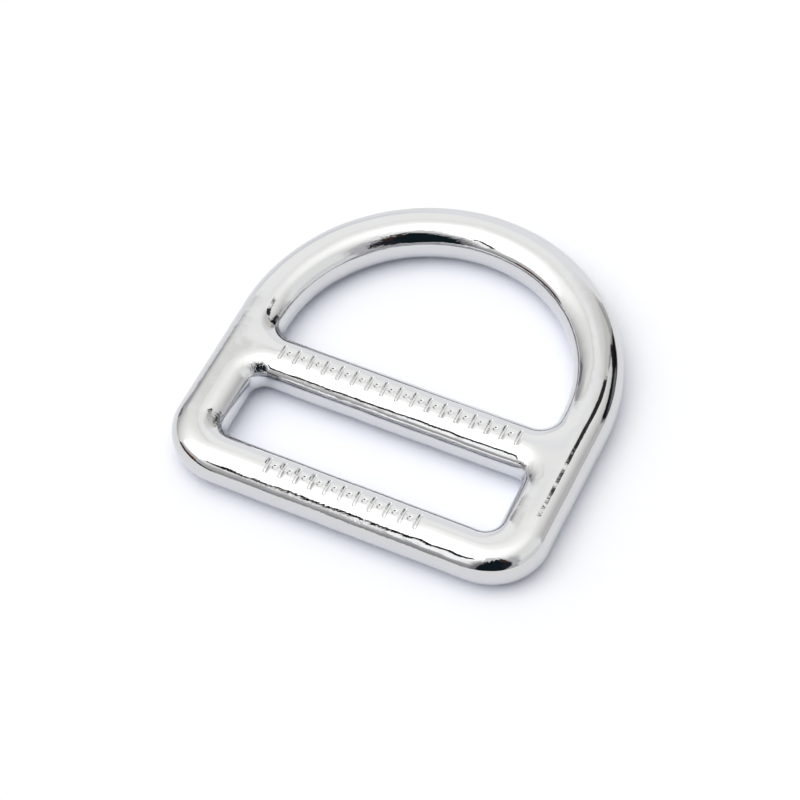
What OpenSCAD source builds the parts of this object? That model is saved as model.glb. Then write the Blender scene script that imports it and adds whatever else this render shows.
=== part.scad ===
// Slotted D-ring buckle for harness webbing, one steel forging that lies flat.
// X runs along the crossbar, Y points to the crown of the D, Z is up.
// The origin is under the middle of the outline, on the surface that the ring lies on.

/* [Overall] */
// Width over the two sides, which is also the outside diameter of the crown
overall_w = 62.4; // [58:0.2:68]
// Length from the outside of the foot bar to the outside of the crown
overall_l = 62; // [60:0.5:70]
// Thickness of the forging
thick = 7.4; // [7.2:0.1:9]
// Radius that rounds over every edge of the bars
edge_r = 3.4; // [2:0.1:3.5]
// Outside corner radius at the two ends of the foot bar
foot_corner_r = 9; // [6:0.5:12]

/* [Bars] */
// Width of the curved bar of the D
crown_w = 7.8; // [7.2:0.1:9]
// Width of the crossbar between the two openings
crossbar_w = 7.9; // [7.2:0.1:9]
// Width of the foot bar that closes the webbing slot
foot_w = 7.5; // [7.2:0.1:9]

/* [Openings] */
// Clear width of the slot, for webbing 45 wide
slot_w = 46; // [44:0.5:47]
// Clear height of the slot
slot_h = 11.7; // [9:0.1:13]
// Corner radius of the slot
slot_corner_r = 2.2; // [1.5:0.1:4]
// Corner radius of the D opening where it meets the crossbar
eye_corner_r = 2.8; // [1.5:0.1:5]

/* [Hidden] */
$fn = 96;
// How far an opening's cutter reaches past the two faces
past = 1;
crown_r = overall_w / 2;
crown_y = overall_l / 2 - crown_r;
eye_r = crown_r - crown_w;
foot_corner_x = crown_r - foot_corner_r;
foot_corner_y = foot_corner_r - overall_l / 2;
slot_low_y = foot_w - overall_l / 2;
slot_high_y = slot_low_y + slot_h;
slot_corner_x = slot_w / 2 - slot_corner_r;
// Centre of the D opening's lower right corner
eye_corner_x = eye_r - eye_corner_r;
eye_corner_y = slot_high_y + crossbar_w + eye_corner_r;

// Half section through metal with a rounded rim at x = r.
module rim_section(r) {
    square([r - edge_r, thick]);
    translate([0, edge_r]) square([r, thick - 2 * edge_r]);
    for (z = [edge_r, thick - edge_r])
        translate([r - edge_r, z]) circle(edge_r);
}

// Half section through an opening with its wall at x = r and its mouths flared over the rounded edges.
module mouth_section(r) {
    difference() {
        translate([0, -past]) square([r + edge_r, thick + 2 * past]);
        translate([r, edge_r]) square([edge_r, thick - 2 * edge_r]);
        for (z = [edge_r, thick - edge_r])
            translate([r + edge_r, z]) circle(edge_r);
    }
}

// Turns a half section about Z, from one angle through another.
module turned(from, sweep) {
    rotate([0, 0, from]) rotate_extrude(angle = sweep) children();
}

// Runs a half section along a straight, with its rim towards the heading and its start at the origin.
module straight(heading, length) {
    rotate([90, 0, heading]) linear_extrude(length) children();
}

// Puts a copy on the left side too.
module both_sides() {
    children();
    mirror([1, 0, 0]) children();
}

// The forging's outer form, before the two openings.
module blank() {
    translate([0, crown_y, 0]) turned(0, 180) rim_section(crown_r);
    both_sides() {
        translate([0, crown_y, 0]) straight(0, crown_y - foot_corner_y) rim_section(crown_r);
        translate([foot_corner_x, foot_corner_y, 0]) turned(-90, 90) rim_section(foot_corner_r);
    }
    translate([foot_corner_x, foot_corner_y, 0]) straight(-90, 2 * foot_corner_x) rim_section(foot_corner_r);
}

// The D opening that a connector clips into.
module eye() {
    translate([0, crown_y, 0]) turned(0, 180) mouth_section(eye_r);
    both_sides() {
        translate([0, crown_y, 0]) straight(0, crown_y - eye_corner_y) mouth_section(eye_r);
        translate([eye_corner_x, eye_corner_y, 0]) turned(-90, 90) mouth_section(eye_corner_r);
    }
    translate([eye_corner_x, eye_corner_y, 0]) straight(-90, 2 * eye_corner_x) mouth_section(eye_corner_r);
}

// The slot that the webbing passes through.
module slot() {
    low = slot_low_y + slot_corner_r;
    high = slot_high_y - slot_corner_r;
    translate([-slot_corner_x, low, -past]) cube([2 * slot_corner_x, high - low, thick + 2 * past]);
    translate([slot_corner_x, low, 0]) straight(-90, 2 * slot_corner_x) mouth_section(slot_corner_r);
    translate([-slot_corner_x, high, 0]) straight(90, 2 * slot_corner_x) mouth_section(slot_corner_r);
    both_sides() {
        translate([slot_corner_x, high, 0]) straight(0, high - low) mouth_section(slot_corner_r);
        translate([slot_corner_x, high, 0]) turned(0, 90) mouth_section(slot_corner_r);
        translate([slot_corner_x, low, 0]) turned(-90, 90) mouth_section(slot_corner_r);
    }
}

module forged_ring() {
    color("lightgrey")
        difference() {
            blank();
            eye();
            slot();
        }
}

forged_ring();
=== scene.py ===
import logging
import math
from dataclasses import dataclass, field
from enum import Enum
from typing import Any, Sequence, Union

import bmesh
import bpy
from mathutils import Matrix, Vector, noise


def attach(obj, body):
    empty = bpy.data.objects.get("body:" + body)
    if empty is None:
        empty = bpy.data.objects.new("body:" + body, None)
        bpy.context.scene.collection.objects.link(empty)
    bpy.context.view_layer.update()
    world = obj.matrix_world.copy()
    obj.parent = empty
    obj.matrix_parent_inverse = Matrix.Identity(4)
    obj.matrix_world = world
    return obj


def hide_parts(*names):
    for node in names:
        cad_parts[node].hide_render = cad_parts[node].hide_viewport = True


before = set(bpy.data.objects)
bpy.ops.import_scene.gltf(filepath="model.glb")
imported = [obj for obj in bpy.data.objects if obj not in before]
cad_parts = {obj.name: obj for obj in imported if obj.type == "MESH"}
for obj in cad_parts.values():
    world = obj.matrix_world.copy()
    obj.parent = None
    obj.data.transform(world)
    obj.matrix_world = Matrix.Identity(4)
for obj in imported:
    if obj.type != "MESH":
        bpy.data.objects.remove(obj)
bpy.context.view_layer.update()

MM = 0.001
LOG = logging.getLogger("slotted_ring")

# In millimetres: how near each other two points of the ring's mesh are welded, how near a cut a point counts
# as on it, and how far in front of a wall a point still belongs to it.
WELD = 1e-4
CUT_SLACK = 1e-5
WALL_SLACK = 0.01
# The least Z of a face's unit normal on the flat, and on a bar's upper side.
LEVEL = 0.9999
UPWARD = 0.8
# The layer of the mesh's points with the way from the metal out through their loop.
OUTWARD = "outward"

# The places of a Mix node's colour inputs and output, which share their names with its other sockets.
MIX_COLOURS = (6, 7)
MIX_RESULT = 2
# How many finer octaves a noise has, and how strong they are in an even and in a crisp one.
OCTAVES = 2.0
EVEN = 0.5
CRISP = 0.6

Socket = bpy.types.NodeSocket
Colour = tuple[float, float, float]
Triple = tuple[float, float, float]
Pair = tuple[float, float]
Input = Union["Value", Socket, float, Sequence[float]]


class Slot(Enum):
    """The record's material slots that the pieces take their finish from."""

    PLATED_STEEL = "plated_steel"


class Body(Enum):
    """The CAD bodies that the pieces ride on."""

    ROOT = "root"


class Output(Enum):
    """The output nodes that end a shader tree."""

    MATERIAL = "ShaderNodeOutputMaterial"
    WORLD = "ShaderNodeOutputWorld"


def put_object(name: str, data: bpy.types.ID) -> bpy.types.Object:
    """Makes an object at the origin and links it to the scene.

    Args:
        name: The object's name.
        data: Its mesh or camera.

    Returns:
        The object.
    """
    made = bpy.data.objects.new(name, data)
    bpy.context.scene.collection.objects.link(made)
    return made


def put_mesh(name: str, mesh: bmesh.types.BMesh) -> bpy.types.Object:
    """Turns a finished bmesh into an object at the origin.

    Args:
        name: The name of the object and of its mesh.
        mesh: The bmesh, which is freed.

    Returns:
        The object.
    """
    data = bpy.data.meshes.new(name)
    mesh.to_mesh(data)
    mesh.free()
    return put_object(name, data)


# Shader graphs: what lays down the nodes of the materials and of the sky.


class Graph:
    """Lays down the nodes of one shader tree and joins them."""

    def __init__(self, tree: bpy.types.NodeTree) -> None:
        """Empties the tree and starts on it.

        Args:
            tree: The node tree of a material, a world or a group.
        """
        self.tree = tree
        tree.nodes.clear()

    def node(self, kind: str, **settings: Any) -> bpy.types.Node:
        """Adds a node.

        Args:
            kind: The node's type, such as ShaderNodeMath.
            **settings: The node's own settings, by name.

        Returns:
            The new node.
        """
        made = self.tree.nodes.new(kind)
        for name, setting in settings.items():
            setattr(made, name, setting)
        return made

    def join(self, source: Input, target: Socket) -> None:
        """Feeds an input socket from another socket, or sets its value.

        Args:
            source: A value, a socket or plain numbers.
            target: The input that takes it.
        """
        if isinstance(source, Value):
            source = source.socket
        if isinstance(source, Socket):
            self.tree.links.new(source, target)
        else:
            target.default_value = source

    def show(self, shader: bpy.types.Node, output: Output) -> None:
        """Joins the last shader to the tree's output, which ends the tree."""
        self.join(shader.outputs[0], self.node(output.value).inputs["Surface"])

    def _apply(self, kind: str, operation: str, inputs: Sequence[Input]) -> bpy.types.Node:
        """Adds a node that works something out from its inputs.

        Args:
            kind: The node's type.
            operation: What it does, such as MULTIPLY.
            inputs: Its inputs in order.

        Returns:
            The node.
        """
        made = self.node(kind, operation=operation)
        for source, target in zip(inputs, made.inputs):
            self.join(source, target)
        return made

    def math(self, operation: str, *inputs: Input) -> "Value":
        """Returns the number that a Math node makes of its inputs."""
        return Value(self, self._apply("ShaderNodeMath", operation, inputs).outputs[0])

    def vector(self, operation: str, *inputs: Input) -> Socket:
        """Returns the vector that a Vector Math node makes of its inputs."""
        return self._apply("ShaderNodeVectorMath", operation, inputs).outputs["Vector"]

    def dot(self, first: Input, second: Input) -> "Value":
        """Returns the dot product of two vectors."""
        made = self._apply("ShaderNodeVectorMath", "DOT_PRODUCT", (first, second))
        return Value(self, made.outputs["Value"])

    def length(self, vector: Input) -> "Value":
        """Returns the length of a vector."""
        return Value(self, self._apply("ShaderNodeVectorMath", "LENGTH", (vector,)).outputs["Value"])

    def mix(self, share: Input, first: Input, second: Input) -> Socket:
        """Blends two colours.

        Args:
            share: How much of the second shows, from 0 to 1.
            first: The first colour.
            second: The second colour.

        Returns:
            The blended colour's socket.
        """
        made = self.node("ShaderNodeMix", data_type="RGBA")
        self.join(share, made.inputs["Factor"])
        for source, place in zip((first, second), MIX_COLOURS):
            plain = isinstance(source, tuple) and len(source) == 3
            self.join((*source, 1.0) if plain else source, made.inputs[place])
        return made.outputs[MIX_RESULT]

    def noise(self, where: Input, scale: Input, rough: float = EVEN) -> "Value":
        """Adds a noise texture.

        Args:
            where: The coordinates that it reads.
            scale: How many lumps it has in a metre of those coordinates.
            rough: How strong its finer octaves are.

        Returns:
            The noise, which is about 0.5 on average.
        """
        made = self.node("ShaderNodeTexNoise")
        for name, source in (("Vector", where), ("Scale", scale), ("Detail", OCTAVES), ("Roughness", rough)):
            self.join(source, made.inputs[name])
        return Value(self, made.outputs["Fac"])


class Value:
    """One number that varies over a surface or a sky, worked out by Math nodes."""

    def __init__(self, graph: Graph, socket: Socket) -> None:
        """Wraps an output socket.

        Args:
            graph: The graph that the socket's node is in.
            socket: The socket that gives the number.
        """
        self.graph = graph
        self.socket = socket

    def __add__(self, other: Input) -> "Value":
        """Returns the sum."""
        return self.graph.math("ADD", self, other)

    def __sub__(self, other: Input) -> "Value":
        """Returns the difference."""
        return self.graph.math("SUBTRACT", self, other)

    def __mul__(self, other: Input) -> "Value":
        """Returns the product."""
        return self.graph.math("MULTIPLY", self, other)

    def __truediv__(self, other: Input) -> "Value":
        """Returns the quotient."""
        return self.graph.math("DIVIDE", self, other)

    def rise(self, low: float, high: float) -> "Value":
        """Ramps smoothly from 0 to 1.

        Args:
            low: The number at which the ramp is 0.
            high: The number at which the ramp is 1, which may be below low.

        Returns:
            The ramp.
        """
        made = self.graph.node("ShaderNodeMapRange", interpolation_type="SMOOTHSTEP", clamp=True)
        self.graph.join(self, made.inputs["Value"])
        ends = (low, high, 0.0, 1.0) if low <= high else (high, low, 1.0, 0.0)
        for name, end in zip(("From Min", "From Max", "To Min", "To Max"), ends):
            made.inputs[name].default_value = end
        return Value(self.graph, made.outputs["Result"])


# The ring: its outline, its section and the marks stamped into it.


def ease(share: float) -> float:
    """Returns a share, kept between 0 and 1, with both ends of its run smoothed."""
    share = max(0.0, min(1.0, share))
    return share * share * (3 - 2 * share)


@dataclass(frozen=True)
class Stroke:
    """One stamped groove: a short upright line seen from above, in millimetres."""

    x: float
    y: float
    half_length: float
    half_width: float

    def gap(self, x: float, y: float) -> float:
        """Returns how far a point lies outside the groove, below zero inside it."""
        return math.hypot(x - self.x, max(0.0, abs(y - self.y) - self.half_length)) - self.half_width


@dataclass(frozen=True)
class Dot:
    """One stamped round pit seen from above, in millimetres."""

    x: float
    y: float
    radius: float

    def gap(self, x: float, y: float) -> float:
        """Returns how far a point lies outside the pit, below zero inside it."""
        return math.hypot(x - self.x, y - self.y) - self.radius


@dataclass
class Marks:
    """A row of plain ornament stamped along a bar's top: strokes with a dot between each two.

    Sizes are in millimetres. The seam sizes say where the flat is cut along the row, the grid sizes where its
    mesh is made fine enough for the marks, and the press sizes which points the stamp may move. A reach is
    counted across the bar from its middle, and an end along the bar from the slot's end.
    """

    axis_y: float
    strokes: int
    pitch: float = 2.5
    half_length: float = 1.15
    half_width: float = 0.21
    dot_radius: float = 0.38
    shoulder: float = 0.16
    depth: float = 0.2
    seam_shift: float = 0.18
    seam_reach: float = 0.4
    seam_end: float = 2.0
    grid_reach: float = 2.2
    grid_margin: float = 0.3
    grid_cuts: int = 5
    press_reach: float = 2.4
    press_end: float = 2.4
    press_depth: float = 1.0

    def __post_init__(self) -> None:
        """Lays out the signs from the left."""
        self.step = self.pitch / 2
        self.first_x = -(self.strokes - 1) * self.step
        self.signs: list[Stroke | Dot] = []
        for place in range(2 * self.strokes - 1):
            x = self.first_x + place * self.step
            if place % 2:
                self.signs.append(Dot(x, self.axis_y, self.dot_radius))
            else:
                self.signs.append(Stroke(x, self.axis_y, self.half_length, self.half_width))

    def gap(self, x: float, y: float) -> float:
        """Works out how far a point of the bar's top is from the nearest sign.

        Args:
            x: The point's place along the bar.
            y: The point's place across the bar.

        Returns:
            The distance outside the sign's edge in millimetres, below zero inside it.
        """
        place = round((x - self.first_x) / self.step)
        return self.signs[place].gap(x, y) if 0 <= place < len(self.signs) else math.inf

    def sink(self, x: float, y: float) -> float:
        """Returns how deep the stamp pressed a point of the surface, in millimetres."""
        return self.depth * ease(0.5 - self.gap(x, y) / self.shoulder)


class Edge(Enum):
    """Which side of a drawn loop the metal lies on."""

    METAL_INSIDE = 1
    METAL_OUTSIDE = -1


class Pen:
    """Draws one closed loop of edges in the top plane, with straight runs and arcs."""

    ARC_STEPS = 4

    def __init__(self, mesh: bmesh.types.BMesh, start: Vector, edge: Edge, step: float) -> None:
        """Puts the pen down.

        Args:
            mesh: The mesh that takes the loop.
            start: Where the loop starts.
            edge: Which side the metal lies on. The loop runs counter-clockwise.
            step: The length of one edge.
        """
        self.mesh = mesh
        self.edge = edge
        self.step = step
        layers = mesh.verts.layers.float_vector
        self.outward = layers.get(OUTWARD) or layers.new(OUTWARD)
        self.first = self.last = bmesh.ops.create_vert(mesh, co=start)["vert"][0]
        self.edges: list[bmesh.types.BMEdge] = []

    def _run(self, centre: Vector, angle: float, stride: Vector, steps: int) -> list[bmesh.types.BMVert]:
        """Spins the last point into a run of edges.

        Args:
            centre: The point that the run turns about.
            angle: How far it turns, in radians.
            stride: How far it shifts with each edge.
            steps: How many edges it has.

        Returns:
            The run's points, from the one that it starts from.
        """
        bmesh.ops.spin(self.mesh, geom=[self.last], cent=centre, axis=(0, 0, 1), dvec=stride,
                       angle=angle, steps=steps, use_merge=False, use_duplicate=False)
        points, before = [self.last], None
        while len(points) <= steps:
            (edge,) = [e for e in points[-1].link_edges if e is not before and e not in self.edges]
            self.edges.append(edge)
            points.append(edge.other_vert(points[-1]))
            before = edge
        self.last = points[-1]
        return points

    def straight(self, dx: float, dy: float) -> "Pen":
        """Draws a straight run.

        Args:
            dx: How far it goes along X.
            dy: How far it goes along Y.

        Returns:
            The pen.
        """
        run = Vector((dx, dy, 0))
        steps = max(1, round(run.length / self.step))
        side = Vector((dy, -dx, 0)).normalized() * self.edge.value
        for point in self._run(Vector(), 0.0, run / steps, steps):
            point[self.outward] = side
        return self

    def arc(self, dx: float, dy: float, degrees: float) -> "Pen":
        """Draws an arc.

        Args:
            dx: The centre's place along X from the pen.
            dy: The centre's place along Y from the pen.
            degrees: How far the arc turns, counter-clockwise.

        Returns:
            The pen.
        """
        centre = self.last.co + Vector((dx, dy, 0))
        length = math.hypot(dx, dy) * math.radians(abs(degrees))
        steps = max(self.ARC_STEPS, round(length / self.step))
        for point in self._run(centre, math.radians(degrees), Vector(), steps):
            point[self.outward] = (point.co - centre).normalized() * self.edge.value
        return self

    def close(self) -> None:
        """Welds the loop's end to its start."""
        bmesh.ops.pointmerge(self.mesh, verts=[self.first, self.last], merge_co=self.first.co)


@dataclass
class ForgedRing:
    """The one-piece forging: D-shaped rim, crossbar and webbing slot, plated all over.

    Sizes are in millimetres. The crown sizes let the flat stand proud in its middle. The front walls of the
    foot bar and of the crossbar swell towards the parting line: the first swell runs on into the foot's
    corners, and the other stops short of the slot's ends. Both fade out over swell_run along the bar, and
    over swell_fade up to swell_reach from the middle of the wall's height. Lumps cover the same walls from
    lump_foot to the top. A wave is its lumps per millimetre, the shift of its pattern and its height. The two
    join sizes are angles in radians, under which the flat's triangles become one face.
    """

    width: float = 62.4
    length: float = 62.0
    thick: float = 7.4
    edge_r: float = 3.4
    foot_corner_r: float = 9.0
    crown_bar: float = 7.8
    crossbar: float = 7.9
    foot_bar: float = 7.38
    slot_width: float = 46.0
    slot_height: float = 11.82
    slot_corner_r: float = 2.2
    eye_corner_r: float = 2.8
    crown_run: float = 0.27
    crown_rise: float = 0.018
    column: float = 0.5
    rim_steps: int = 16
    join_bend: float = 0.1
    join_skew: float = 0.7
    foot_swell: float = 0.19
    foot_swell_past: float = 3.0
    slot_swell: float = 0.03
    slot_swell_short: float = 2.0
    swell_run: float = 5.0
    swell_reach: float = 2.9
    swell_fade: float = 2.0
    lump_height: float = 0.022
    lumps_along: float = 0.45
    lumps_over: float = 0.9
    lump_foot: float = 4.4
    lump_fade_in: float = 0.8
    lump_fade_out: float = 0.5
    waves: tuple[tuple[float, Triple, float], ...] = (
        (0.13, (3, 1, 9), 0.045),
        (0.42, (0, 0, 0), 0.012),
        (1.1, (40, 7, 3), 0.004),
    )
    crossbar_strokes: int = 17
    foot_bar_strokes: int = 11
    marks: list[Marks] = field(init=False)

    def __post_init__(self) -> None:
        """Works out the places that several steps share."""
        self.crown_r = self.width / 2
        self.crown_y = self.length / 2 - self.crown_r
        self.foot_y = -self.length / 2
        self.slot_low = self.foot_y + self.foot_bar
        self.slot_high = self.slot_low + self.slot_height
        self.eye_low = self.slot_high + self.crossbar
        self.marks = [
            Marks((self.slot_high + self.eye_low) / 2, self.crossbar_strokes),
            Marks((self.foot_y + self.slot_low) / 2, self.foot_bar_strokes),
        ]

    def outer_loop(self, mesh: bmesh.types.BMesh) -> None:
        """Draws where the flat top ends along the outside.

        Args:
            mesh: The mesh that takes the loop.
        """
        r, corner = self.crown_r - self.edge_r, self.foot_corner_r - self.edge_r
        drop = self.crown_y - (self.foot_y + self.foot_corner_r)
        pen = Pen(mesh, Vector((r, self.crown_y, self.thick)), Edge.METAL_INSIDE, self.column)
        pen.arc(-r, 0, 180).straight(0, -drop).arc(corner, 0, 90)
        pen.straight(2 * (r - corner), 0).arc(0, corner, 90).straight(0, drop).close()

    def eye_loop(self, mesh: bmesh.types.BMesh) -> None:
        """Draws where the flat top ends round the D opening.

        Args:
            mesh: The mesh that takes the loop.
        """
        r, corner = self.crown_r - self.crown_bar + self.edge_r, self.eye_corner_r + self.edge_r
        drop = self.crown_y - self.eye_low - self.eye_corner_r
        pen = Pen(mesh, Vector((r, self.crown_y, self.thick)), Edge.METAL_OUTSIDE, self.column)
        pen.arc(-r, 0, 180).straight(0, -drop).arc(corner, 0, 90)
        pen.straight(2 * (r - corner), 0).arc(0, corner, 90).straight(0, drop).close()

    def slot_loop(self, mesh: bmesh.types.BMesh) -> None:
        """Draws where the flat top ends round the webbing slot.

        Args:
            mesh: The mesh that takes the loop.
        """
        half, corner = self.slot_width / 2 + self.edge_r, self.slot_corner_r + self.edge_r
        across = 2 * (half - corner)
        up = self.slot_height - 2 * self.slot_corner_r
        start = Vector((half, self.slot_high - self.slot_corner_r, self.thick))
        pen = Pen(mesh, start, Edge.METAL_OUTSIDE, self.column)
        pen.arc(-corner, 0, 90).straight(-across, 0).arc(0, -corner, 90).straight(0, -up)
        pen.arc(corner, 0, 90).straight(across, 0).arc(0, corner, 90).straight(0, up).close()

    def flat(self, mesh: bmesh.types.BMesh) -> list[bmesh.types.BMEdge]:
        """Fills the flat along the middle of the bars.

        Args:
            mesh: The mesh that takes it.

        Returns:
            The edges of its three loops.
        """
        for draw in (self.outer_loop, self.eye_loop, self.slot_loop):
            draw(mesh)
        loops = mesh.edges[:]
        bmesh.ops.triangle_fill(mesh, use_beauty=True, use_dissolve=False, edges=loops, normal=(0, 0, 1))
        bmesh.ops.join_triangles(mesh, faces=mesh.faces[:], angle_face_threshold=self.join_bend,
                                 angle_shape_threshold=self.join_skew)
        return loops

    def round_over(self, mesh: bmesh.types.BMesh, loops: list[bmesh.types.BMEdge]) -> None:
        """Rounds every rim from the flat down to the middle of the wall.

        Args:
            mesh: The mesh of the flat.
            loops: The edges that the rounding starts from.
        """
        outward = mesh.verts.layers.float_vector[OUTWARD]
        angles = [math.pi / 2 * k / self.rim_steps for k in range(self.rim_steps + 1)]
        strides = [(self.edge_r * (math.sin(b) - math.sin(a)), self.edge_r * (math.cos(b) - math.cos(a)))
                   for a, b in zip(angles, angles[1:])]
        strides.append((0.0, self.edge_r - self.thick / 2))
        edges = loops
        for out, down in strides:
            made = bmesh.ops.extrude_edge_only(mesh, edges=edges)["geom"]
            for vert in [g for g in made if isinstance(g, bmesh.types.BMVert)]:
                vert.co += vert[outward] * out + Vector((0, 0, down))
            edges = [g for g in made if isinstance(g, bmesh.types.BMEdge) and len(g.link_faces) == 1]

    def section_top(self, y: float, axis_y: float, bar: float) -> float:
        """Works out how high the bar's top is.

        Args:
            y: The place across the bar.
            axis_y: The middle of the bar.
            bar: The bar's width.

        Returns:
            The height over the floor.
        """
        past = abs(y - axis_y) - (bar / 2 - self.edge_r)
        crown = self.crown_rise * max(0.0, min(1.0, -past / self.crown_run))
        drop = math.sqrt(max(0.0, self.edge_r ** 2 - max(0.0, past) ** 2))
        return self.thick - self.edge_r + drop + crown

    def stamp(self, mesh: bmesh.types.BMesh) -> None:
        """Presses the marks into the top of the crossbar and of the foot bar.

        Args:
            mesh: The whole ring.
        """
        end = self.slot_width / 2
        for row, bar in zip(self.marks, (self.crossbar, self.foot_bar)):
            for shift in (-row.seam_shift, row.seam_shift):
                faces = [f for f in mesh.faces if f.normal.z > LEVEL
                         and abs(f.calc_center_median().y - row.axis_y) < row.seam_reach
                         and abs(f.calc_center_median().x) < end - row.seam_end]
                parts = list(dict.fromkeys(g for f in faces for g in (*f.verts, *f.edges, f)))
                bmesh.ops.bisect_plane(mesh, geom=parts, dist=CUT_SLACK,
                                       plane_co=(0, row.axis_y + shift, 0), plane_no=(0, 1, 0))
            faces = [f for f in mesh.faces if f.normal.z > UPWARD
                     and abs(f.calc_center_median().y - row.axis_y) < row.grid_reach
                     and row.gap(*f.calc_center_median().xy) < row.grid_margin]
            edges = list(dict.fromkeys(e for f in faces for e in f.edges))
            bmesh.ops.subdivide_edges(mesh, edges=edges, cuts=row.grid_cuts, use_grid_fill=True)
            for vert in mesh.verts:
                x, y, z = vert.co
                if (z > self.thick - row.press_depth and abs(y - row.axis_y) < row.press_reach
                        and abs(x) < end - row.press_end):
                    vert.co.z = self.section_top(y, row.axis_y, bar) - row.sink(x, y)

    def parting_line(self, mesh: bmesh.types.BMesh) -> None:
        """Lets the two front walls swell towards the forging's parting line, with small lumps over them.

        Args:
            mesh: The whole ring.
        """
        foot_end = self.width / 2 - self.foot_corner_r + self.foot_swell_past
        slot_end = self.slot_width / 2 - self.slot_swell_short
        for vert in mesh.verts:
            x, y, z = vert.co
            for wall, end, swell in ((self.foot_y, foot_end, self.foot_swell),
                                     (self.slot_high, slot_end, self.slot_swell)):
                if wall - WALL_SLACK < y < wall + self.edge_r:
                    along = ease((end - abs(x)) / self.swell_run)
                    lump = noise.noise(Vector((self.lumps_along * x, self.lumps_over * y,
                                               self.lumps_over * z + wall)))
                    low = ease((self.swell_reach - abs(z - self.thick / 2)) / self.swell_fade)
                    high = (ease((z - self.lump_foot) / self.lump_fade_in)
                            * ease((self.thick - z) / self.lump_fade_out))
                    vert.co.y -= along * (swell * low + self.lump_height * lump * high)

    def unevenness(self, mesh: bmesh.types.BMesh) -> None:
        """Gives the surface the faint waves of a tumbled forging.

        Args:
            mesh: The whole ring.
        """
        mesh.normal_update()
        moves = []
        for vert in mesh.verts:
            rise = sum(height * noise.noise(vert.co * lumps + Vector(shift))
                       for lumps, shift, height in self.waves)
            moves.append(vert.normal * rise)
        for vert, move in zip(mesh.verts, moves):
            vert.co += move

    def build(self) -> bpy.types.Object:
        """Models the ring.

        Returns:
            The ring's object, at the origin.
        """
        mesh = bmesh.new()
        self.round_over(mesh, self.flat(mesh))
        bmesh.ops.inset_region(mesh, faces=[f for f in mesh.faces if f.normal.z > LEVEL], use_boundary=True,
                               use_even_offset=True, thickness=self.crown_run, depth=self.crown_rise)
        middle = Matrix.Translation((0, 0, -self.thick / 2))
        bmesh.ops.mirror(mesh, geom=mesh.verts[:] + mesh.edges[:] + mesh.faces[:],
                         matrix=middle, merge_dist=WELD, axis="Z")
        bmesh.ops.remove_doubles(mesh, verts=mesh.verts[:], dist=WELD)
        bmesh.ops.recalc_face_normals(mesh, faces=mesh.faces[:])
        self.parting_line(mesh)
        self.stamp(mesh)
        self.unevenness(mesh)
        for face in mesh.faces:
            face.smooth = True
        bmesh.ops.transform(mesh, matrix=Matrix.Scale(MM, 4), verts=mesh.verts[:])
        return put_mesh("slotted_ring", mesh)

    def dress(self, ring: bpy.types.Object) -> None:
        """Plates the ring and seats it on its CAD body.

        Args:
            ring: The ring's object.
        """
        ring.data.materials.append(PlatedSteel().material())
        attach(ring, Body.ROOT.value)
        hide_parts("forged_ring")


# Finishes: the ring's plating and the floor's pale sheet.


def start_material(name: str) -> tuple[bpy.types.Material, Graph]:
    """Starts a node-based material.

    Args:
        name: The material's name.

    Returns:
        The material and the graph that lays down its nodes.
    """
    made = bpy.data.materials.new(name)
    made.use_nodes = True
    return made, Graph(made.node_tree)


class Clouds:
    """The soft clouds that both finishes have, as one node group that each places with its own values."""

    NAME = "clouds"
    SOCKETS = (
        ("Vector", "INPUT", "NodeSocketVector"),
        ("Scale", "INPUT", "NodeSocketFloat"),
        ("Thin", "INPUT", "NodeSocketColor"),
        ("Thick", "INPUT", "NodeSocketColor"),
        ("Colour", "OUTPUT", "NodeSocketColor"),
        ("Cloud", "OUTPUT", "NodeSocketFloat"),
    )

    def build(self) -> bpy.types.NodeTree:
        """Builds the group.

        Returns:
            The group, whose Colour runs from Thin to Thick as its Cloud runs from 0 to 1.
        """
        made = bpy.data.node_groups.new(self.NAME, "ShaderNodeTree")
        for name, side, kind in self.SOCKETS:
            made.interface.new_socket(name=name, in_out=side, socket_type=kind)
        graph = Graph(made)
        taken, given = graph.node("NodeGroupInput").outputs, graph.node("NodeGroupOutput").inputs
        cloud = graph.noise(taken["Vector"], taken["Scale"])
        graph.join(graph.mix(cloud, taken["Thin"], taken["Thick"]), given["Colour"])
        graph.join(cloud, given["Cloud"])
        return made

    def place(self, graph: Graph, where: Socket, scale: float, colour: Colour, dip: float) -> bpy.types.Node:
        """Places the group in a finish, and builds it where there is none yet.

        Args:
            graph: The finish's graph.
            where: The coordinates that the clouds read.
            scale: How many clouds there are in a metre.
            colour: The finish's colour.
            dip: The share of the colour that is left where a cloud is thickest.

        Returns:
            The group's node, which gives the Colour and the Cloud.
        """
        made = graph.node("ShaderNodeGroup", node_tree=bpy.data.node_groups.get(self.NAME) or self.build())
        thick = tuple(dip * c for c in colour)
        for name, source in (("Vector", where), ("Scale", scale), ("Thin", (*colour, 1.0)),
                             ("Thick", (*thick, 1.0))):
            graph.join(source, made.inputs[name])
        return made


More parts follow.
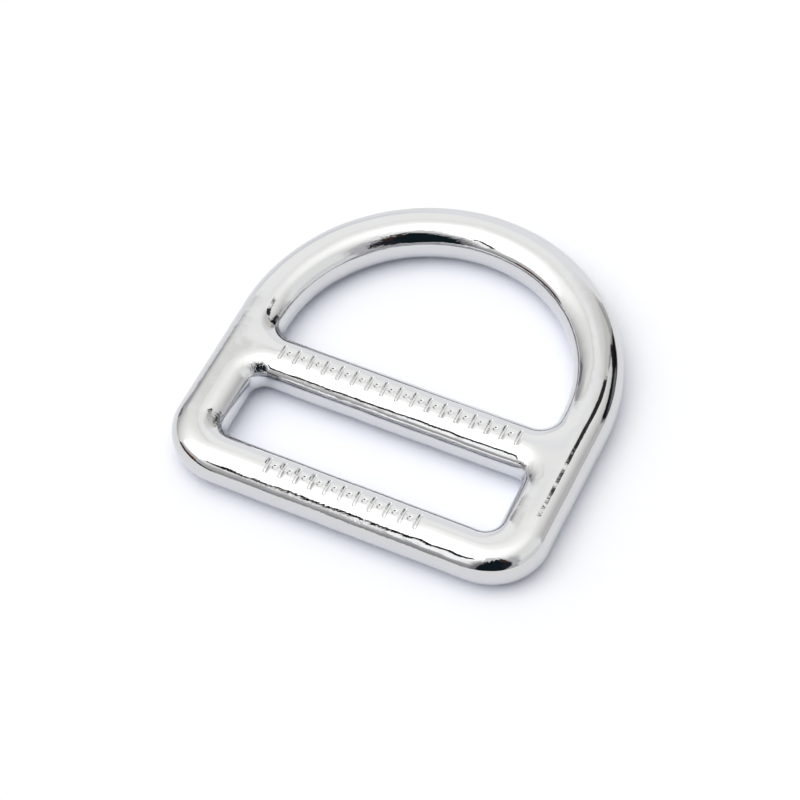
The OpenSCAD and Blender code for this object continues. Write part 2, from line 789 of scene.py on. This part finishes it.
@dataclass(frozen=True)
class RoughPatch:
    """A grainy stretch of the plating.

    The centre and the reach give an ellipsoid in millimetres. The grain is its lumps per metre each way, the
    height is theirs in metres, and the turn is the grain's about Z in degrees. The lumps have their full
    height inside the core share of the reach.
    """

    name: str
    centre: Triple
    reach: Triple
    grain: Triple
    height: float
    turn: float = 0.0
    core: float = 0.35

    def relief(self, graph: Graph, where: Input) -> Value:
        """Works out how high the patch's grain stands.

        Args:
            graph: The plating's graph.
            where: The place on the ring in metres.

        Returns:
            The height in metres, zero outside the patch.
        """
        away = graph.vector("SUBTRACT", where, [MM * c for c in self.centre])
        away = graph.vector("MULTIPLY", away, [1 / (MM * r) for r in self.reach])
        cover = graph.length(away).rise(1.0, self.core)
        turned = graph.node("ShaderNodeVectorRotate", rotation_type="Z_AXIS", label=self.name)
        graph.join(where, turned.inputs["Vector"])
        turned.inputs["Angle"].default_value = -math.radians(self.turn)
        fine = graph.vector("MULTIPLY", turned.outputs[0], self.grain)
        return graph.noise(fine, 1.0, CRISP) * cover * self.height


@dataclass(frozen=True)
class PlatedSteel:
    """Bright plating over forged steel.

    The scales of the clouds, of the forging's waves and of the plating's peel are lumps per metre, and the
    two heights are in metres. A cloud dips the colour to a share of itself and adds a little roughness.
    """

    colour: Colour = (0.662, 0.667, 0.676)
    roughness: float = 0.03
    cloud_scale: float = 300.0
    cloud_dip: float = 0.97
    cloud_haze: float = 0.03
    wave_scale: float = 700.0
    wave_height: float = 0.9e-5
    peel_scale: float = 3500.0
    peel_height: float = 1.8e-6
    patches: tuple[RoughPatch, ...] = (
        RoughPatch("slot's back left corner", (-22.9, -11.6, 6.4), (2.1, 1.6, 1.8), (2700, 2700, 2700), 8e-5),
        RoughPatch("slot's front left corner", (-24, -22.7, 6.7), (2, 2, 1.6), (2700, 2700, 2700), 8e-5),
        RoughPatch("slot's back right corner", (23.2, -11.8, 6.4), (2.4, 1.8, 1.8), (2700, 2700, 2700),
                   4.5e-5),
        RoughPatch("eye's left corner", (-24.5, -1.4, 6.5), (1.8, 2.2, 1.4), (3600, 3600, 3600), 2e-5),
        RoughPatch("crossbar's front edge", (-8, -11, 6.1), (18, 1.3, 1.8), (350, 2600, 2600), 1.6e-5),
        RoughPatch("foot bar's front edge", (0, -30.2, 6.1), (24, 1.4, 1.6), (900, 2600, 2600), 1.6e-5),
        RoughPatch("crown's inner edge, left", (-15.5, 18.5, 6.5), (6, 6, 1.5), (800, 3000, 3000),
                   4e-5, 40),
        RoughPatch("crown's inner edge, middle", (-6, 23.3, 6.6), (7, 3, 1.4), (800, 3000, 3000),
                   2.5e-5, 14),
        RoughPatch("foot bar's right corner", (25, -28.8, 6.8), (3.2, 2.2, 1.2), (1500, 1500, 1500),
                   2.6e-5, 30),
        RoughPatch("slot's back left wall", (-21.5, -12, 3.4), (5, 3, 3.2), (2400, 2400, 120), 8e-6),
    )

    def material(self) -> bpy.types.Material:
        """Builds the material.

        Returns:
            The plated steel.
        """
        made, graph = start_material("plated_steel")
        where = graph.node("ShaderNodeTexCoord").outputs["Object"]
        steel = graph.node("ShaderNodeBsdfPrincipled")
        steel.inputs["Metallic"].default_value = 1.0
        clouds = Clouds().place(graph, where, self.cloud_scale, self.colour, self.cloud_dip)
        graph.join(clouds.outputs["Colour"], steel.inputs["Base Color"])
        cloud = Value(graph, clouds.outputs["Cloud"])
        graph.join(cloud * self.cloud_haze + self.roughness, steel.inputs["Roughness"])
        height = graph.noise(where, self.wave_scale) * self.wave_height
        height += graph.noise(where, self.peel_scale, CRISP) * self.peel_height
        for patch in self.patches:
            height += patch.relief(graph, where)
        bump = graph.node("ShaderNodeBump")
        bump.inputs["Distance"].default_value = 1.0
        graph.join(height, bump.inputs["Height"])
        graph.join(bump.outputs["Normal"], steel.inputs["Normal"])
        graph.show(steel, Output.MATERIAL)
        return made


@dataclass(frozen=True)
class PaleFloor:
    """The smooth pale sheet that the ring lies on.

    Where something within its reach in metres stands over it, its colour is painted towards the lighter,
    cooler
    shade colour: painted shade that stands in for the soft blue light in the ring's shadow. Its clouds are
    lumps per metre that dip the colour to a share of itself.
    """

    colour: Colour = (0.775, 0.775, 0.785)
    # Painted shade: the lighter, bluer colour painted into the floor where the ring shades it.
    shade: Colour = (0.848, 0.886, 1.0)
    reach: float = 0.02
    cloud_scale: float = 3.0
    cloud_dip: float = 0.99

    def material(self) -> bpy.types.Material:
        """Builds the material.

        Returns:
            The floor's finish.
        """
        made, graph = start_material("pale_floor")
        where = graph.node("ShaderNodeTexCoord").outputs["Object"]
        sheet = graph.node("ShaderNodeBsdfDiffuse")
        shelter = graph.node("ShaderNodeAmbientOcclusion", samples=1)
        shelter.inputs["Distance"].default_value = self.reach
        clouds = Clouds().place(graph, where, self.cloud_scale, self.colour, self.cloud_dip)
        # Painted shade: where the occlusion finds the ring over the floor, the colour is painted towards the
        # shade colour.
        colour = graph.mix(shelter.outputs["AO"], self.shade, clouds.outputs["Colour"])
        graph.join(colour, sheet.inputs["Color"])
        graph.show(sheet, Output.MATERIAL)
        return made


# The studio: the floor, the camera and what the ring mirrors.


@dataclass(frozen=True)
class Card:
    """One flat thing of the studio that the ring mirrors, on a chart of the sky.

    The chart's middle is straight up, its X and Y run as the ring's do, and a place on it lies as many
    degrees from the middle as the thing stands from straight up. The corners go round a convex shape. The
    edge fades over soft degrees, and solid is the share of what is behind that the card hides.
    """

    name: str
    corners: tuple[Pair, ...]
    colour: Colour
    soft: float
    solid: float = 1.0

    def sides(self) -> list[Triple]:
        """Works out the card's sides.

        Returns:
            Each side's X share, Y share and shift, which give how far inside it a place lies.
        """
        made = []
        corners = [Vector((*corner, 0)) for corner in self.corners]
        runs = list(zip(corners, corners[1:] + corners[:1]))
        turn = math.copysign(1, sum(start.cross(end).z for start, end in runs))
        for start, end in runs:
            side = Vector((0, 0, turn)).cross(end - start).normalized()
            made.append((side.x, side.y, -side.dot(start)))
        return made

    def mask(self, graph: Graph, across: Value, along: Value) -> Value:
        """Works out where the card covers the sky, with three of its sides to a vector.

        Args:
            graph: The sky's graph.
            across: The place on the chart, along its X.
            along: The place on the chart, along its Y.

        Returns:
            The card's cover, from 0 to 1.
        """
        sides = self.sides()
        sides += sides[-1:] * (-len(sides) % 3)
        depth = None
        for first in range(0, len(sides), 3):
            xs, ys, shifts = zip(*sides[first:first + 3])
            three = graph.vector("MULTIPLY_ADD", along, ys, shifts)
            three = graph.vector("MULTIPLY_ADD", across, xs, three)
            depth = three if depth is None else graph.vector("MINIMUM", depth, three)
        parts = graph.node("ShaderNodeSeparateXYZ", label=self.name)
        graph.join(depth, parts.inputs[0])
        nearest = graph.math("MINIMUM", graph.math("MINIMUM", *parts.outputs[:2]), parts.outputs[2])
        return nearest.rise(-self.soft / 2, self.soft / 2) * self.solid


@dataclass
class Studio:
    """The plain floor, the soft light and the camera.

    Lengths are in metres, angles in degrees and the lens in millimetres. The glow lists how bright it is at
    how many degrees from its middle on the chart, and its squash makes it narrower across its heading. The
    cards stand in what the ring mirrors, and the shades in what lights the floor at the strength of the fill.
    """

    floor_side: float = 6.0
    azimuth: float = 30.75
    elevation: float = 55.0
    roll: float = -6.0
    distance: float = 0.3996
    target: Triple = (-0.0020, -0.00436, 0.0)
    lens: float = 115.55
    clip: Pair = (0.01, 50.0)
    glow_middle: Pair = (-20.0, -15.0)
    glow_heading: float = 45.0
    glow_squash: float = 1.7
    glow: tuple[Pair, ...] = (
        (0, 1.6), (30, 1.6), (42, 1.43), (52, 1.28), (60, 1.13), (70, 1.02), (80, 0.88), (100, 0.60),
        (120, 0.5),
    )
    glow_tint: Colour = (1.0, 0.995, 0.97)
    backdrop: Colour = (0.93, 0.935, 0.95)
    cards: tuple[Card, ...] = (
        Card("soft box", ((-62, -24), (-30, 0), (-12, 12), (4, 8), (6, -12), (0, -32), (-14, -52), (-34, -54),
                          (-50, -42)), (2.4, 2.4, 2.35), 10.0),
        Card("back left panel", ((-100, 43), (-20, 29.5), (-12, 31), (4, 58), (12, 74), (24, 100),
                                 (-100, 100)), (1.08, 1.08, 1.11), 4.0),
        Card("panel's foot", ((-62, 37), (-20, 29), (-8, 36), (-14, 47), (-30, 52), (-56, 50)),
             (1.20, 1.20, 1.17), 8.0),
        Card("panel's shade", ((-100, 42), (-74, 40), (-30, 60), (-36, 66), (-100, 66)),
             (0.92, 0.93, 0.98), 9.0),
        Card("under panel", ((-50, 33), (-24, 29), (-22, 24), (-50, 26)), (1.10, 1.09, 1.06), 5.0, 0.8),
        Card("seam's end", ((-58, 35.5), (-44, 33.5), (-44, 29.5), (-58, 31)), (0.80, 0.79, 0.77), 3.5),
        Card("seam left", ((-90, 39), (-60, 37), (-56, 34.5), (-56, 32), (-66, 30.5), (-90, 29)),
             (0.46, 0.45, 0.47), 3.5),
        Card("seam middle", ((-46, 32), (-20, 29.3), (-20, 27.2), (-46, 30)), (0.96, 0.95, 0.92), 3.0, 0.9),
        Card("right panel", ((30, 20), (60, 31), (95, 40), (95, -30), (52, -22), (34, 0)),
             (1.05, 1.05, 1.04), 10.0),
        Card("low right wall", ((72, 26), (100, 50), (100, -45), (66, -36), (68, -10)),
             (0.89, 0.88, 0.90), 8.0),
        Card("right shade", ((30, -16), (48, -16), (64, -28), (68, -44), (52, -50), (40, -44), (30, -30)),
             (0.60, 0.595, 0.61), 16.0),
        Card("far right corner", ((57, 37), (88, 58), (95, 40), (72, 29)), (0.68, 0.665, 0.68), 5.0),
        Card("screen side", ((-12, 36), (0, 62), (10, 78), (20, 80), (14, 44), (-2, 31)),
             (0.92, 0.91, 0.89), 8.0),
        Card("grey screen", ((-1, 38), (5, 57), (13, 76), (30, 80), (24, 62), (16, 46), (8, 34)),
             (0.75, 0.74, 0.715), 8.0),
        Card("screen top", ((8, 66), (14, 77), (31, 80), (27, 66)), (0.46, 0.45, 0.45), 6.0),
        Card("dark stand", ((-1.5, 29.7), (6, 37.5), (19, 43), (21, 38), (17.5, 32), (15, 29.7)),
             (0.03, 0.03, 0.03), 1.2),
        Card("case edge", ((14, 44), (24, 64), (28, 62), (19, 45)), (0.35, 0.34, 0.34), 4.0),
        Card("dark case", ((26, 60), (30, 82), (48, 74), (66, 60), (70, 48), (60, 40.5), (52, 41),
                           (34, 53.5)), (0.01, 0.01, 0.015), 4.0),
        Card("case foot", ((20, 56), (25, 65), (34, 63), (32, 54)), (0.02, 0.02, 0.02), 3.0),
        Card("case top", ((46, 70), (66, 60), (64, 50), (44, 60)), (0.2, 0.2, 0.21), 6.0),
        Card("left sill", ((-70, 20), (-71.5, 29), (-80, 33), (-92, 33), (-92, 17), (-75, 18)),
             (0.22, 0.21, 0.25), 3.0),
        Card("grey front", ((-4, -76), (-42, -57.5), (-60, -100), (-4, -100)), (0.58, 0.57, 0.58), 5.0),
        Card("grey side", ((-38, -56), (-70, -27), (-100, -40), (-60, -100)), (0.65, 0.64, 0.65), 7.0),
        Card("low front", ((-4, -76), (-50, -74), (-60, -100), (-4, -100)), (0.37, 0.36, 0.37), 9.0),
        Card("low side", ((-44, -74), (-88, -20), (-100, -30), (-60, -100)), (0.45, 0.44, 0.46), 8.0),
        Card("skirting front", ((-30, -80), (-48, -67), (-60, -80), (-36, -96)), (0.05, 0.045, 0.05), 1.5),
        Card("skirting middle", ((-46, -65), (-64, -47), (-78, -60), (-58, -82)), (0.11, 0.05, 0.03), 1.5),
        Card("skirting side", ((-62, -50), (-77, -26), (-94, -34), (-78, -62)), (0.09, 0.05, 0.05), 1.5),
        Card("front gap", ((-12, -53), (-20.4, -55.5), (-21.6, -69), (-12, -70)), (1.40, 1.40, 1.40), 2.0),
        Card("frame", ((-12.5, -39.5), (-26.5, -57), (-24.2, -62), (-10, -45)), (0.0, 0.0, 0.0), 1.6),
        Card("half dark", ((10, -36), (-7, -53), (-14, -64), (-16, -92), (10, -92)),
             (0.50, 0.49, 0.50), 14.0),
        Card("half dark's foot", ((4, -48), (-6, -62), (-14, -80), (-14, -96), (10, -96)),
             (0.24, 0.235, 0.25), 8.0),
        Card("dark's edge", ((2, -18), (20, -19), (26, -26), (14, -44), (2, -34)), (0.82, 0.81, 0.81), 10.0),
        Card("camera side", ((14, -25), (20, -22), (28, -24), (44, -33.5), (58, -52), (58, -95), (-6, -96),
                             (0, -66), (6, -46)), (0.008, 0.015, 0.019), 4.0),
        Card("camera shelf", ((38, -32), (50, -34), (60, -44), (58, -62), (40, -56)),
             (0.02, 0.022, 0.03), 6.0),
        Card("brown edge", ((22, -23), (40, -34.5), (36, -38.5), (20, -29)), (0.07, 0.035, 0.028), 3.0),
    )
    shades: tuple[Card, ...] = (
        Card("light", ((-48, -14), (-26, 16), (4, 22), (20, 0), (8, -34), (-24, -46)), (3.2, 3.2, 3.2), 16.0),
        Card("right side", ((40, 24), (95, 40), (95, -40), (44, -24)), (0.60, 0.60, 0.60), 16.0),
        Card("back left", ((-95, 45), (-50, 36), (-10, 36), (20, 90), (-95, 95)), (0.80, 0.80, 0.82), 14.0),
        Card("front left", ((-4, -60), (-90, -26), (-90, -95), (-4, -100)), (0.40, 0.40, 0.40), 12.0),
        Card("back", ((24, 60), (30, 82), (66, 60), (60, 38), (34, 52)), (0.1, 0.1, 0.1), 12.0),
        Card("camera side", ((16, -19), (80, -44), (66, -90), (-6, -96), (0, -60)), (0.05, 0.05, 0.06), 12.0),
    )
    fill: float = 0.94

    def floor(self) -> bpy.types.Object:
        """Lays the floor.

        Returns:
            The floor's object.
        """
        mesh = bmesh.new()
        bmesh.ops.create_grid(mesh, x_segments=1, y_segments=1, size=self.floor_side / 2)
        made = put_mesh("floor", mesh)
        made.data.materials.append(PaleFloor().material())
        return made

    def camera(self) -> bpy.types.Object:
        """Places the camera.

        Returns:
            The camera's object.
        """
        a, e, turn = (math.radians(x) for x in (self.azimuth, self.elevation, self.roll))
        back = Vector((math.sin(a) * math.cos(e), -math.cos(a) * math.cos(e), math.sin(e)))
        right = Vector((math.cos(a), math.sin(a), 0))
        up = back.cross(right)
        right, up = right * math.cos(turn) + up * math.sin(turn), up * math.cos(turn) - right * math.sin(turn)
        data = bpy.data.cameras.new("camera")
        data.lens = self.lens
        data.clip_start, data.clip_end = self.clip
        made = put_object("camera", data)
        pose = Matrix((right, up, back)).transposed().to_4x4()
        pose.translation = Vector(self.target) + back * self.distance
        made.matrix_world = pose
        bpy.context.scene.camera = made
        return made

    def chart(self, graph: Graph) -> tuple[Value, Value]:
        """Works out where on the chart of the sky each direction lies.

        Args:
            graph: The sky's graph.

        Returns:
            The place's X and Y on the chart, in degrees.
        """
        way = graph.node("ShaderNodeTexCoord").outputs["Generated"]
        from_up = graph.math("ARCCOSINE", graph.dot(way, (0, 0, 1))) * math.degrees(1)
        level = graph.vector("NORMALIZE", graph.vector("MULTIPLY", way, (1, 1, 0)))
        return graph.dot(level, (1, 0, 0)) * from_up, graph.dot(level, (0, 1, 0)) * from_up

    def overhead(self, graph: Graph, across: Value, along: Value) -> Socket:
        """Works out the glow overhead.

        Args:
            graph: The sky's graph.
            across: The place on the chart, along its X.
            along: The place on the chart, along its Y.

        Returns:
            The glow's colour.
        """
        turn = math.radians(self.glow_heading)
        east, north = across - self.glow_middle[0], along - self.glow_middle[1]
        length = east * math.cos(turn) + north * math.sin(turn)
        breadth = (north * math.cos(turn) - east * math.sin(turn)) * self.glow_squash
        reach = graph.math("SQRT", length * length + breadth * breadth)
        ramp = graph.node("ShaderNodeValToRGB")
        span, top = self.glow[-1][0], self.glow[0][1]
        graph.join(reach / span, ramp.inputs["Fac"])
        stops = ramp.color_ramp.elements
        while len(stops) < len(self.glow):
            stops.new(position=0.5)
        for stop, (far, bright) in zip(stops, self.glow):
            stop.position = far / span
            stop.color = (bright / top,) * 3 + (1,)
        return graph.vector("MULTIPLY", ramp.outputs["Color"], [top * c for c in self.glow_tint])

    def light(self) -> bpy.types.World:
        """Sets the glow overhead and the cards round it, which light the floor and show in the plating.

        Returns:
            The world that holds them.
        """
        world = bpy.data.worlds.new("studio")
        bpy.context.scene.world = world
        world.use_nodes = True
        graph = Graph(world.node_tree)
        across, along = self.chart(graph)
        room = plain = self.overhead(graph, across, along)
        for card in self.cards:
            room = graph.mix(card.mask(graph, across, along), room, card.colour)
        for card in self.shades:
            plain = graph.mix(card.mask(graph, across, along), plain, card.colour)
        ray = graph.node("ShaderNodeLightPath").outputs
        plain = graph.mix(ray["Is Camera Ray"], plain, self.backdrop)
        both = graph.node("ShaderNodeMixShader")
        graph.join(ray["Is Glossy Ray"], both.inputs["Fac"])
        for colour, strength, target in zip((plain, room), (self.fill, 1.0), both.inputs[1:]):
            shade = graph.node("ShaderNodeBackground")
            graph.join(colour, shade.inputs["Color"])
            shade.inputs["Strength"].default_value = strength
            graph.join(shade.outputs[0], target)
        graph.show(both, Output.WORLD)
        return world


def main() -> None:
    """Builds the ring and its studio, and reports each piece."""
    logging.basicConfig(level=logging.INFO, format="%(name)s: %(message)s")
    bpy.context.scene.view_settings.view_transform = "Standard"
    forging = ForgedRing()
    ring = forging.build()
    forging.dress(ring)
    LOG.info("%s has %d faces", ring.name, len(ring.data.polygons))
    studio = Studio()
    for made in (studio.floor(), studio.camera(), studio.light()):
        LOG.info("%s is set", made.name)


if __name__ == "__main__":
    main()
